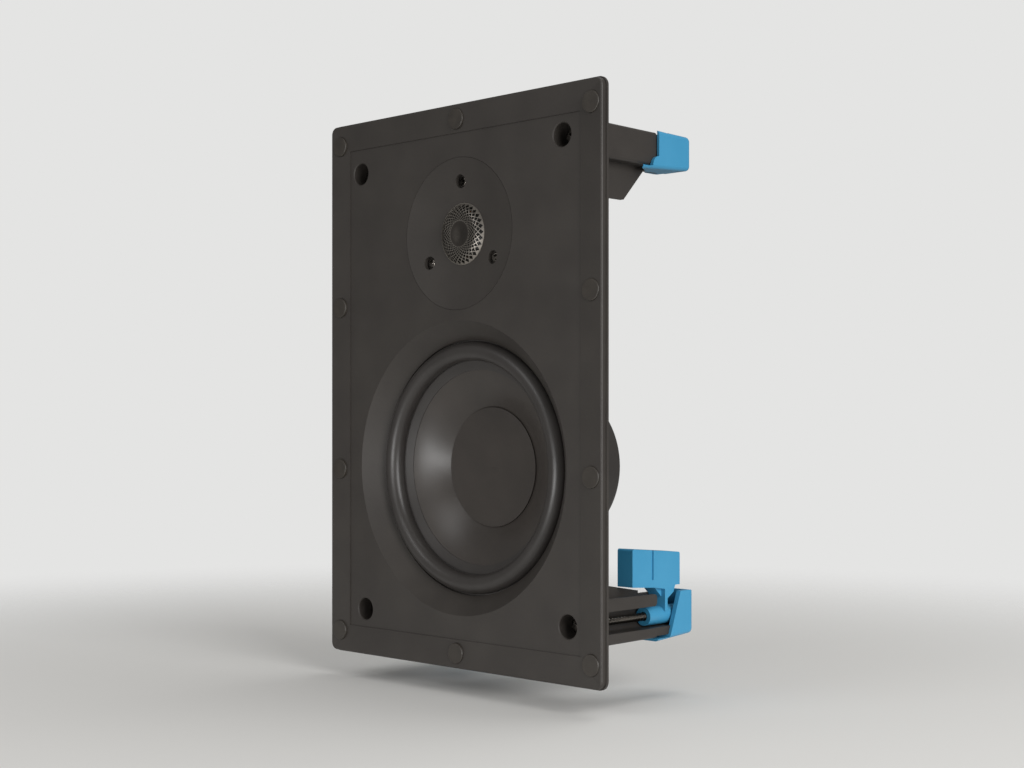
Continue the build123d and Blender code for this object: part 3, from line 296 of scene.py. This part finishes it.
bmesh.ops.delete(form, geom=diamonds, context="FACES")
bmesh.ops.recalc_face_normals(form, faces=form.faces[:])
if sum((face.normal.y * face.calc_area() for face in form.faces)) > 0:
    bmesh.ops.reverse_faces(form, faces=form.faces[:])
bmesh.ops.solidify(form, geom=form.faces[:], thickness=lens_sheet)
bmesh.ops.translate(form, verts=form.verts[:], vec=tweeter_place)
# Black nickel on a pressed sheet: dark warm metal whose satin webs catch the light
lens_metal = grained(
    "satin_black_nickel", "#837E78", "#A09A92", 0.5 * MM, 0.42, 0.01 * MM, metallic=1.0
)
# The solid middle is painted darker than the lattice: painted shade that stands for the dark look of the
# dimpled middle
lens_tree = lens_metal.node_tree
lens_shader = lens_tree.nodes["Principled BSDF"]
lattice_colour = lens_shader.inputs["Base Color"].links[0].from_socket
lens_point = add(lens_tree, "ShaderNodeTexCoord").outputs["Object"]
from_middle = add(
    lens_tree,
    "ShaderNodeVectorMath",
    {"operation": "DISTANCE", 1: tweeter_place + Vector((0, lens_middle_y, 0))},
    {0: lens_point},
)
lattice_share = add(
    lens_tree,
    "ShaderNodeMapRange",
    {"From Min": 6.8 * MM, "From Max": 7.6 * MM},
    {"Value": from_middle.outputs["Value"]},
)
# Painted shade: within about 7 mm of the centre the base colour goes over to the darker #4F4B47
lens_colour_with_painted_shade = add(
    lens_tree,
    "ShaderNodeMix",
    {"data_type": "RGBA", 6: linear("#4F4B47")},
    {"Factor": lattice_share.outputs[0], 7: lattice_colour},
)
lens_tree.links.new(lens_colour_with_painted_shade.outputs[2], lens_shader.inputs["Base Color"])
piece(form, "phase_lens", "frame", lens_metal, ["tweeter_lens"])

# Screws
# Pan heads with a cross recess: three black ones hold the tweeter's faceplate from the front,
# and plated ones hold the woofer, the board and the terminals from behind.


def cross_head(radius, height, dome, reach, half, depth):
    """A head about the Y axis whose top faces -Y, with a cross recess and a rounded shoulder."""
    flat = 0.84
    shoulder = 0.95
    taper = 0.72
    head = bmesh.new()
    bmesh.ops.create_grid(head, x_segments=5, y_segments=5, size=1.0)
    lines = (-flat, -reach / radius, -half / radius, half / radius, reach / radius, flat)
    for vert in head.verts:
        column = round((vert.co.x + 1) * 2.5)
        row = round((vert.co.y + 1) * 2.5)
        spot = Vector((lines[column], lines[row]))
        if column in (0, 5) or row in (0, 5):
            spot = spot.normalized() * flat
        vert.co = Vector((spot.x * radius, dome * spot.length_squared, spot.y * radius))
    cross = [
        face
        for face in head.faces
        if min(abs(face.calc_center_median().x), abs(face.calc_center_median().z)) < half
        and face.calc_center_median().xz.length < reach
    ]
    rim = [edge for edge in head.edges if edge.is_boundary]
    sunk = bmesh.ops.extrude_face_region(head, geom=cross)["geom"]
    for vert in [g for g in sunk if isinstance(g, bmesh.types.BMVert)]:
        vert.co = Vector((vert.co.x * taper, dome + depth, vert.co.z * taper))
    rim = ring_from(head, rim, radius * shoulder, dome + 0.10 * height)
    rim = ring_from(head, rim, radius, dome + 0.35 * height)
    rim = ring_from(head, rim, radius, height)
    bmesh.ops.holes_fill(head, edges=rim, sides=20)
    pattern = bpy.data.meshes.new("head_pattern")
    head.to_mesh(pattern)
    head.free()
    return pattern


def rod(form, radius, y_from, y_to, x=0.0, z=0.0, tip=0.0, segments=24):
    """A closed round bar along Y, with a cone of the length tip at its far end."""
    turn = Matrix.Translation((x, (y_from + y_to - tip) / 2, z)) @ Matrix.Rotation(
        math.radians(-90), 4, "X"
    )
    bmesh.ops.create_cone(
        form, cap_ends=True, segments=segments, radius1=radius, radius2=radius,
        depth=y_to - tip - y_from, matrix=turn,
    )
    if tip:
        turn = Matrix.Translation((x, y_to - tip / 2, z)) @ Matrix.Rotation(
            math.radians(-90), 4, "X"
        )
        bmesh.ops.create_cone(
            form, cap_ends=True, segments=segments, radius1=radius, radius2=radius * 0.45,
            depth=tip, matrix=turn,
        )


def stamp(form, pattern, x, y, z, turn=0.0, rear=False):
    """Sets a copy of a head in place, turned about its axis, or facing the rear."""
    place = Matrix.Translation((x, y, z)) @ Matrix.Rotation(math.radians(turn), 4, "Y")
    if rear:
        place = place @ Matrix.Rotation(math.radians(180), 4, "X")
    copy = pattern.copy()
    copy.transform(place)
    form.from_mesh(copy)
    bpy.data.meshes.remove(copy)


# Black oxide on steel: dark metal that still glints on its edges
black_oxide = grained(
    "black_oxide_steel", "#55514D", "#77726C", 0.5 * MM, 0.26, 0.01 * MM, metallic=1.0
)
tweeter_screw_circle = 29.0 * MM
screw_shank = 1.45 * MM
tweeter_head = cross_head(
    radius=2.8 * MM, height=1.6 * MM, dome=0.35 * MM,
    reach=1.7 * MM, half=0.42 * MM, depth=0.7 * MM,
)
form = bmesh.new()
for degrees, turn in ((90, 12), (210, 40), (330, 65)):
    x = tweeter_screw_circle * math.cos(math.radians(degrees))
    z = tweeter_place.z + tweeter_screw_circle * math.sin(math.radians(degrees))
    stamp(form, tweeter_head, x, 0.74 * MM, z, turn)
    rod(form, screw_shank, 2.3 * MM, 10.3 * MM, x, z)
piece(form, "faceplate_screws", "frame", black_oxide, ["tweeter_screws"], 40)

woofer_z = -45.1 * MM
woofer_screw_circle = 78.2 * MM
small_head = cross_head(
    radius=3.2 * MM, height=2.0 * MM, dome=0.45 * MM,
    reach=1.9 * MM, half=0.45 * MM, depth=0.8 * MM,
)
form = bmesh.new()
for number in range(6):
    x = woofer_screw_circle * math.cos(math.radians(60 * number))
    z = woofer_z + woofer_screw_circle * math.sin(math.radians(60 * number))
    stamp(form, small_head, x, 14.1 * MM, z, 17 * number, rear=True)
    rod(form, screw_shank, 4.8 * MM, 12.2 * MM, x, z)
piece(form, "chassis_screws", "frame", zinc_steel, ["woofer_screws"], 40)

# Places in millimetres, with y at the top of the head: four in the board, two in the block
board_head_y = 9.9
block_head_y = 10.8
rear_places = [(x, board_head_y, z) for x in (49.5, 84.5) for z in (29.5, 90.5)]
rear_places += [(-84.0, block_head_y, 34.5), (-45.0, block_head_y, 43.0)]
form = bmesh.new()
for number, (x, y, z) in enumerate(rear_places):
    stamp(form, small_head, x * MM, y * MM, z * MM, 23 * number, rear=True)
    rod(form, screw_shank, (y - 8.6) * MM, (y - 1.9) * MM, x * MM, z * MM)
piece(form, "board_screws", "frame", zinc_steel, ["rear_screws"], 40)

# Woofer chassis and motor
# A pressed steel basket in black powder coat, a ferrite magnet between plated steel plates,
# and a moulded boot pushed over the magnet from behind.
# Powder coat: nearly black, with an orange peel about a millimetre across
chassis_paint = grained(
    "powder_coat", "#1C1B1A", "#262423", 1.2 * MM, 0.45, 0.05 * MM
)
paint(chassis_paint, "woofer_chassis")
# Closed-cell foam: black, matt and finely pitted
foam = grained("closed_cell_foam", "#191817", "#242221", 0.9 * MM, 0.85, 0.08 * MM)
paint(foam, "woofer_gasket")
# Sintered ferrite: charcoal grey with a dry ground face
ferrite = grained("sintered_ferrite", "#1D1D1E", "#2B2B2C", 0.7 * MM, 0.6, 0.03 * MM)
paint(ferrite, "woofer_magnet")
# The boot's moulded plastic is a shade darker and smoother than the baffle's
boot_plastic = grained(
    "moulded_boot", "#262321", "#312E2B", 0.7 * MM, 0.46, 0.03 * MM
)
paint(boot_plastic, "magnet_cover")

# Woofer diaphragm
# A moulded polypropylene cone and dust cap with a fine satin sparkle, on a rubber half-roll
# and a corrugated cloth spider that are glued to the cone inside and to the basket outside.
# Satin polypropylene: a broad soft highlight with a fine grain in it
cone_plastic = grained(
    "moulded_polypropylene", "#34302D", "#403B37", 0.5 * MM, 0.34, 0.02 * MM, spread=0.02
)
paint(cone_plastic, "woofer_cone", "woofer_dust_cap")
# Enamelled copper: warm orange-brown metal
copper_wire = grained(
    "enamelled_copper", "#8A4A22", "#B0682F", 0.5 * MM, 0.35, 0.02 * MM, metallic=1.0
)
paint(copper_wire, "woofer_voice_coil", "tweeter_voice_coil")


def turned(section, z, steps=96, closed=True):
    """Spins a section of (radius, y) in millimetres once round the Y axis at a height."""
    form = bmesh.new()
    points = [form.verts.new((r * MM, y * MM, z)) for r, y in section]
    pairs = list(zip(points, points[1:] + points[:1])) if closed else list(zip(points, points[1:]))
    edges = [form.edges.new(pair) for pair in pairs]
    bmesh.ops.spin(
        form, geom=points + edges, cent=(0, 0, z), axis=(0, 1, 0),
        angle=2 * math.pi, steps=steps, use_merge=True,
    )
    return form


def arc(first, middle, last, count):
    """Points of the circle through three points of a section, from the first to the last."""
    (ax, ay), (bx, by), (cx, cy) = first, middle, last
    cross = 2 * (ax * (by - cy) + bx * (cy - ay) + cx * (ay - by))
    a, b, c = ax * ax + ay * ay, bx * bx + by * by, cx * cx + cy * cy
    ux = (a * (by - cy) + b * (cy - ay) + c * (ay - by)) / cross
    uy = (a * (cx - bx) + b * (ax - cx) + c * (bx - ax)) / cross
    start = math.atan2(ay - uy, ax - ux)
    way = math.atan2(by - uy, bx - ux)
    end = math.atan2(cy - uy, cx - ux)
    full = 2 * math.pi
    if (way - start) % full > (end - start) % full:
        sweep = -((start - end) % full)
    else:
        sweep = (end - start) % full
    reach = math.hypot(ax - ux, ay - uy)
    angles = [start + sweep * i / count for i in range(count + 1)]
    return [(ux + reach * math.cos(t), uy + reach * math.sin(t)) for t in angles]


def follow_inside(thing, body, height, inner, outer):
    """Lets a ring move with a diaphragm inside a radius and stay with the frame outside."""
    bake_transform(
        thing, "frame", body, start=(outer * MM, 0, height), end=(inner * MM, 0, height)
    )
    weights = thing.data.attributes["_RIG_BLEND"].data
    for vert, weight in zip(thing.data.vertices, weights):
        reach = math.hypot(vert.co.x, vert.co.z - height) / MM
        share = min(1.0, max(0.0, (outer - reach) / (outer - inner)))
        weight.value = share * share * (3 - 2 * share)


# Butyl rubber: smooth and dark, with a long soft highlight along the roll
surround_rubber = grained(
    "butyl_rubber", "#2F2C2A", "#3A3735", 0.7 * MM, 0.36, 0.008 * MM, spread=0.02
)
roll = arc((70.2, 9.0), (65.2, 3.4), (60.2, 11.8), 28)
roll_back = arc((60.8, 12.0), (65.2, 4.0), (69.6, 9.6), 20)
section = [(75.2, 9.0)] + roll + [(54.5, 13.75), (54.5, 14.1), (60.3, 12.4)]
section += roll_back + [(75.2, 9.6)]
surround = piece(
    turned(section, woofer_z, 128), "half_roll", None, surround_rubber,
    ["woofer_surround"], 50,
)
follow_inside(surround, "woofer_diaphragm", woofer_z, 60.3, 70.2)

# Cotton dipped in phenolic resin: amber cloth, matt and stiff
spider_cloth = grained(
    "phenolic_cotton", "#8A6A33", "#A88546", 0.6 * MM, 0.8, 0.08 * MM
)
first, last, waves = 22.4, 45.0, 5
ripples = [
    (first + (last - first) * i / 60, 39.9 - 1.6 * math.sin(2 * math.pi * waves * i / 60))
    for i in range(61)
]
section = [(19.4, 39.9)] + ripples + [(52.9, 39.9)]
section += [(r, y + 0.6) for r, y in reversed(section)]
spider = piece(
    turned(section, woofer_z), "spider_disc", None, spider_cloth,
    ["woofer_spider"], 50,
)
follow_inside(spider, "woofer_diaphragm", woofer_z, first, last)

# Tweeter diaphragm
# A pressed silk dome, coated to stiffen it, with a small half-roll of the same cloth
# whose flat landing is glued to the cup.
# Coated silk: black, with the weave just showing through the coating
dome_silk = grained(
    "coated_silk", "#15130F", "#1F1C18", 0.4 * MM, 0.45, 0.02 * MM, clouds=5 * MM
)
paint(dome_silk, "tweeter_dome")
roll = arc((12.5, 6.3), (14.05, 5.0), (15.6, 6.3), 12)
roll_back = arc((15.3, 6.6), (14.05, 5.3), (12.8, 6.3), 12)
section = roll + [(19.0, 6.3), (19.0, 6.6)] + roll_back
silk_roll = piece(
    turned(section, tweeter_place.z), "silk_roll", None, dome_silk,
    ["tweeter_surround"], 50,
)
follow_inside(silk_roll, "tweeter_diaphragm", tweeter_place.z, 12.5, 15.6)

# Clamps
# A long black screw in each tower draws a brass bush and a light blue nylon arm forward
# on its 2.5 mm thread, and a blue nylon shoe closes the tower's end.
# Glass-filled nylon: light blue, satin, with a faint unevenness from the fibres
blue_nylon = grained(
    "glass_filled_nylon", "#388BB4", "#4394BC", 0.7 * MM, 0.42, 0.02 * MM, spread=0.03
)
# Turned brass: yellow metal with fine tool marks
brass = grained("turned_brass", "#B08A3E", "#C9A252", 0.5 * MM, 0.3, 0.01 * MM, metallic=1.0)
clamp_places = {
    "bottom_right": (82.0 * MM, -125.2 * MM),
    "top_right": (78.0 * MM, 129.0 * MM),
    "top_left": (-82.0 * MM, 125.2 * MM),
    "bottom_left": (-78.0 * MM, -129.0 * MM),
}
clamp_head = cross_head(
    radius=4.6 * MM, height=3.5 * MM, dome=0.3 * MM,
    reach=2.6 * MM, half=0.55 * MM, depth=1.8 * MM,
)
thread_pitch = 2.5 * MM
thread_turns = 29
thread_steps = 14
thread_root = 1.5
thread_crest = 2.25
ridge = [(thread_root, 12.2), (thread_crest, 12.9), (thread_crest, 13.1), (thread_root, 13.8)]
for corner, (x, z) in clamp_places.items():
    form = bmesh.new()
    verts = [form.verts.new((x + r * MM, y * MM, z)) for r, y in ridge]
    face = form.faces.new(verts)
    bmesh.ops.spin(
        form, geom=verts + face.edges[:] + [face], cent=(x, 0, z), axis=(0, 1, 0),
        dvec=(0, thread_pitch / thread_steps, 0), angle=2 * math.pi * thread_turns,
        steps=thread_turns * thread_steps,
    )
    rod(form, 1.65 * MM, 11.5 * MM, 88 * MM, x, z, tip=1.2 * MM)
    rod(form, thread_crest * MM, 7.9 * MM, 12.4 * MM, x, z)
    stamp(form, clamp_head, x, 4.5 * MM, z, 30)
    piece(
        form, f"long_screw_{corner}", f"clamp_screw_{corner}", black_oxide,
        [f"clamp_screw_{corner}"], 40,
    )
    paint(brass, f"clamp_bush_{corner}")
    paint(blue_nylon, f"clamp_arm_{corner}", f"tower_cap_{corner}")

# Crossover
# A green laminate board on four standoffs, with two air-core coils, two film capacitors
# and a cement-filled resistor soldered to it.
# Solder mask on glass laminate: dark green and rather glossy
board_laminate = grained(
    "solder_masked_laminate", "#14361F", "#1C4629", 0.8 * MM, 0.35, 0.01 * MM
)
paint(board_laminate, "crossover_board")
# Wrapped polyester film: amber brown, smooth
film = grained("wrapped_film", "#8E5A1C", "#A66C26", 0.6 * MM, 0.3, 0.01 * MM)
paint(film, "large_capacitor", "small_capacitor")
# Cement in a ceramic trough: off-white, dry and rough
ceramic = grained("cement_filled_ceramic", "#B9B4A6", "#CDC9BC", 0.6 * MM, 0.75, 0.05 * MM)
paint(ceramic, "crossover_resistor")
# Undyed nylon: ivory with a slight sheen
bobbin_nylon = grained("natural_nylon", "#B8B09C", "#C9C2B0", 0.8 * MM, 0.45, 0.02 * MM)
# Coil sizes in millimetres from the board's back; the wire is drawn thicker so that it shows
board_back = 7.9
flange_wall = 1.0
bobbin_wall = 1.2
wire = 1.1
for name, x, z, radius, bore, height in (
    ("woofer_coil", 61.5, 45.0, 14.5, 6.5, 14.0),
    ("tweeter_coil", 59.0, 75.0, 10.8, 5.0, 10.0),
):
    front, back = board_back, board_back + height
    low, high, hub = front + flange_wall, back - flange_wall, bore + bobbin_wall
    bobbin = [
        (bore, front), (radius, front), (radius, low), (hub, low),
        (hub, high), (radius, high), (radius, back), (bore, back),
    ]
    form = turned(bobbin, 0, 48)
    bmesh.ops.translate(form, verts=form.verts[:], vec=(x * MM, 0, z * MM))
    piece(form, f"{name}_bobbin", "frame", bobbin_nylon, [name], 40)
    turns = int((high - low) / wire)
    step = (high - low) / turns
    outside = radius - 1.0
    winding = [(hub + 0.1, high), (hub + 0.1, low)]
    for turn in range(turns):
        middle = low + step * (turn + 0.5)
        for part in range(5):
            t = math.pi * (part + 0.5) / 5
            winding.append(
                (outside - step / 2 * (1 - math.sin(t)), middle - step / 2 * math.cos(t))
            )
    form = turned(winding, 0, 48)
    bmesh.ops.translate(form, verts=form.verts[:], vec=(x * MM, 0, z * MM))
    piece(form, f"{name}_winding", "frame", copper_wire, (), 60)

# Terminals
# A black moulded block with two spring push terminals, one button red and one black.
# Black and red ABS: moulded, with a plain satin face
terminal_abs = grained("black_abs", "#181716", "#211F1E", 0.6 * MM, 0.42, 0.02 * MM)
paint(terminal_abs, "terminal_block", "black_button")
red_abs = grained("red_abs", "#8E1414", "#A51C1A", 0.6 * MM, 0.35, 0.01 * MM)
paint(red_abs, "red_button")

# Floor and light
# A pale plain floor that fades into an equally pale backdrop, and wide soft lamps
# at a level where a colour renders about as written.
lowest = solid_box[0].z
floor_drop = 14 * MM
floor_mesh = bpy.data.meshes.new("floor")
floor_form = bmesh.new()
bmesh.ops.create_grid(floor_form, x_segments=1, y_segments=1, size=6.0)
bmesh.ops.translate(floor_form, verts=floor_form.verts, vec=(0, 0, lowest - floor_drop))
floor_form.to_mesh(floor_mesh)
floor_form.free()
floor = bpy.data.objects.new("floor", floor_mesh)
bpy.context.scene.collection.objects.link(floor)
floor_paint, floor_tree, floor_output, floor_place = blank_material("pale_floor")
floor_shader = add(
    floor_tree,
    "ShaderNodeBsdfPrincipled",
    {"Base Color": linear("#E9E8E5"), "Roughness": 0.9},
)
floor_reach = add(
    floor_tree, "ShaderNodeVectorMath", {"operation": "LENGTH"}, {0: floor_place}
)
floor_fade = add(
    floor_tree,
    "ShaderNodeMapRange",
    {"interpolation_type": "SMOOTHSTEP", "From Min": 0.25, "From Max": 0.85},
    {"Value": floor_reach.outputs["Value"]},
)
floor_clear = add(floor_tree, "ShaderNodeBsdfTransparent")
floor_mix = add(
    floor_tree,
    "ShaderNodeMixShader",
    links={0: floor_fade.outputs[0], 1: floor_shader.outputs[0], 2: floor_clear.outputs[0]},
)
floor_tree.links.new(floor_mix.outputs[0], floor_output.inputs["Surface"])
floor_mesh.materials.append(floor_paint)

world = bpy.data.worlds.new("studio")
bpy.context.scene.world = world
world.use_nodes = True
world_tree = world.node_tree
world_tree.nodes.clear()
world_output = add(world_tree, "ShaderNodeOutputWorld")
backdrop = add(
    world_tree, "ShaderNodeBackground", {"Color": linear("#E4E4E3"), "Strength": 1.0}
)
fill = add(
    world_tree, "ShaderNodeBackground", {"Color": linear("#DEDDDB"), "Strength": 0.30}
)
path = add(world_tree, "ShaderNodeLightPath")
seen = add(
    world_tree,
    "ShaderNodeMixShader",
    links={0: path.outputs["Is Camera Ray"], 1: fill.outputs[0], 2: backdrop.outputs[0]},
)
world_tree.links.new(seen.outputs[0], world_output.inputs["Surface"])


def softbox(name, place, target, width, height, power):
    """A rectangular area lamp turned to face a point."""
    lamp = bpy.data.lights.new(name, "AREA")
    lamp.shape = "RECTANGLE"
    lamp.size = width
    lamp.size_y = height
    lamp.energy = power
    holder = bpy.data.objects.new(name, lamp)
    holder.location = place
    aim = Vector(target) - Vector(place)
    holder.rotation_euler = aim.to_track_quat("-Z", "Y").to_euler()
    bpy.context.scene.collection.objects.link(holder)


softbox("key_from_the_right", (1.6, -0.3, 0.35), (0, 0, 0), 0.9, 1.2, 24)
softbox("front_low", (0.12, -0.85, -0.14), (0, 0, -0.05), 0.45, 0.05, 2.6)
softbox("front_high", (-0.3, -1.5, 0.9), (0, 0, 0), 0.8, 0.5, 3.5)
softbox("top", (0.2, 0.4, 1.6), (0, 0, 0), 1.2, 1.2, 9)

# Camera
# Level, at the photograph's height and angle: 44.2 degrees round to the object's right.
camera = bpy.data.cameras.new("camera")
camera.sensor_width = 36.0
camera.lens = 56.7
camera.shift_x = -0.0067
camera.shift_y = 0.0328
camera.clip_start = 0.01
camera_holder = bpy.data.objects.new("camera", camera)
camera_holder.location = (0.6431, -0.6157, -0.01733)
camera_holder.rotation_euler = (math.radians(90), 0, math.radians(44.2))
bpy.context.scene.collection.objects.link(camera_holder)
bpy.context.scene.camera = camera_holder
bpy.context.scene.view_settings.view_transform = "Standard"
